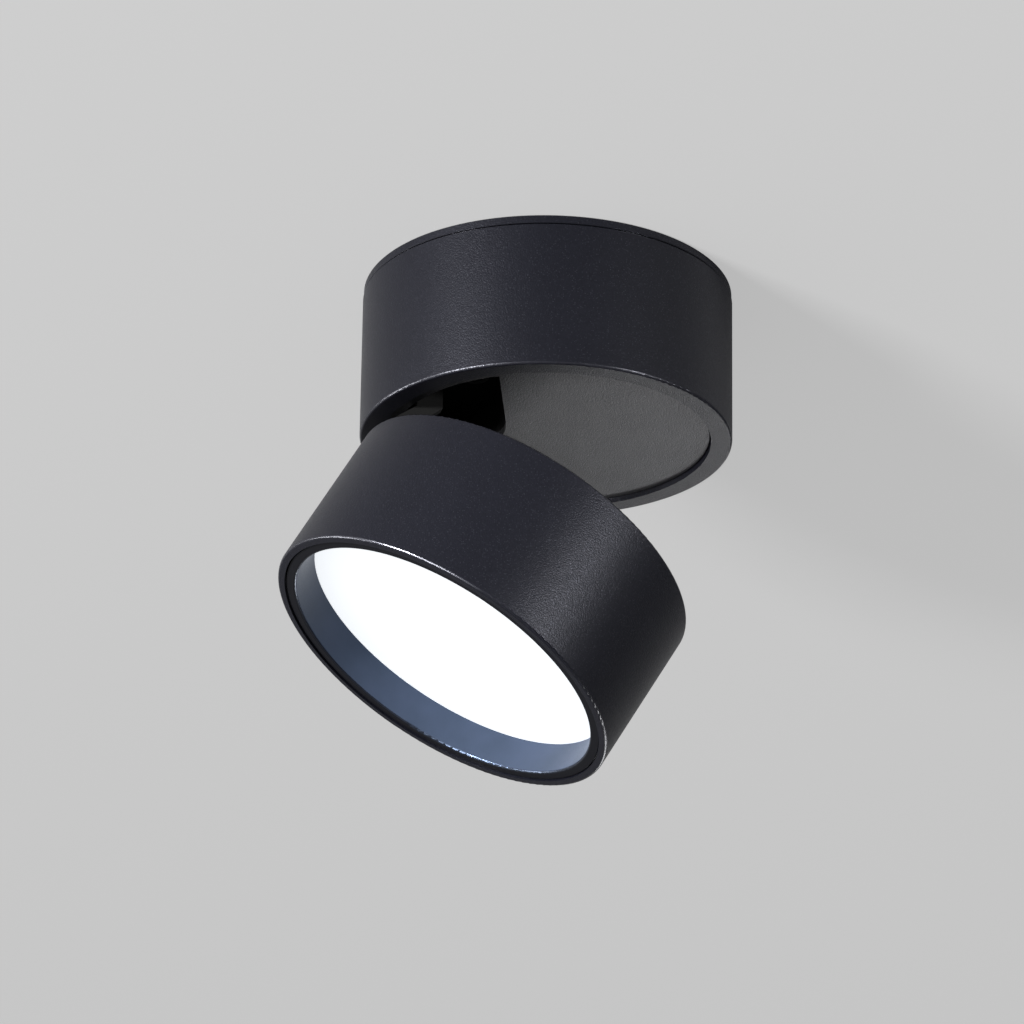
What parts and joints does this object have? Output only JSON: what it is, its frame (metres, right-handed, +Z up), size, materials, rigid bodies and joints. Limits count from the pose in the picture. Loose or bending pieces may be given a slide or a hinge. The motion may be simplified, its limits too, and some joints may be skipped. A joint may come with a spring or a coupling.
{
  "type": "ceiling spotlight",
  "caption": "Surface mounted round ceiling spotlight: a drum base with a turning disc and a drum lamp head on an offset tilt hinge, recessed opal front.",
  "frame": {"origin": "centre of the mounting face, which lies on the ceiling", "axes": "+Z up into the ceiling, the lamp hangs towards -Z; the tilt hinge is on the -X side"},
  "size_m": [0.1208, 0.1, 0.135],
  "materials": {
    "black_coat": "fine sand-textured black powder coat",
    "black_cast": "cast aluminium with a fine sand-textured black powder coat",
    "black_baffle": "satin black moulding",
    "opal": "opal diffuser, satin",
    "bright_steel": "zinc-plated steel",
    "black_steel": "blackened steel",
    "aluminium": "plain machined aluminium",
    "white_plastic": "white moulding",
    "slip_plastic": "natural acetal",
    "rubber_black": "soft black rubber",
    "board_white": "white solder mask",
    "board_green": "green circuit board",
    "pad_grey": "grey gap pad",
    "led_yellow": "phosphor"
  },
  "bodies": {
    "base": {"mounting_plate": "black_coat", "plate_grommet": "rubber_black", "base_housing": "black_cast", "slip_ring": "slip_plastic", "snap_ring": "bright_steel", "driver_case": "white_plastic", "driver_lid": "white_plastic", "driver_board": "board_green", "driver_screws": "bright_steel", "terminal_block": "white_plastic", "terminal_screws": "bright_steel", "earth_screw": "bright_steel"},
    "swivel": {"swivel_disc": "black_coat", "pocket_tray": "black_coat", "tray_grommet": "rubber_black", "hinge_bracket": "black_coat", "bracket_screws": "bright_steel", "tray_screws": "bright_steel", "hinge_pin": "black_steel", "hinge_nut": "black_steel", "hinge_washers": "bright_steel"},
    "head": {"head_housing": "black_cast", "hinge_leaf": "black_coat", "leaf_screws": "black_steel", "head_grommet": "rubber_black", "heat_sink": "aluminium", "heat_sink_screws": "bright_steel", "thermal_pad": "pad_grey", "led_board": "board_white", "led_chips": "led_yellow", "board_connector": "white_plastic", "board_screws": "bright_steel", "reflector_chamber": "white_plastic", "diffuser": "opal", "anti_glare_ring": "black_baffle"}
  },
  "joints": [
    {"name": "base_turn", "type": "hinge", "parent": "base", "child": "swivel", "pos_m": [0, 0, -0.0432], "axis": [0, 0, 1], "range_deg": [-175, 175]},
    {"name": "head_tilt", "type": "hinge", "parent": "swivel", "child": "head", "pos_m": [-0.044, 0, -0.05041], "axis": [0, 1, 0], "range_deg": [-30, 60]}
  ]
}
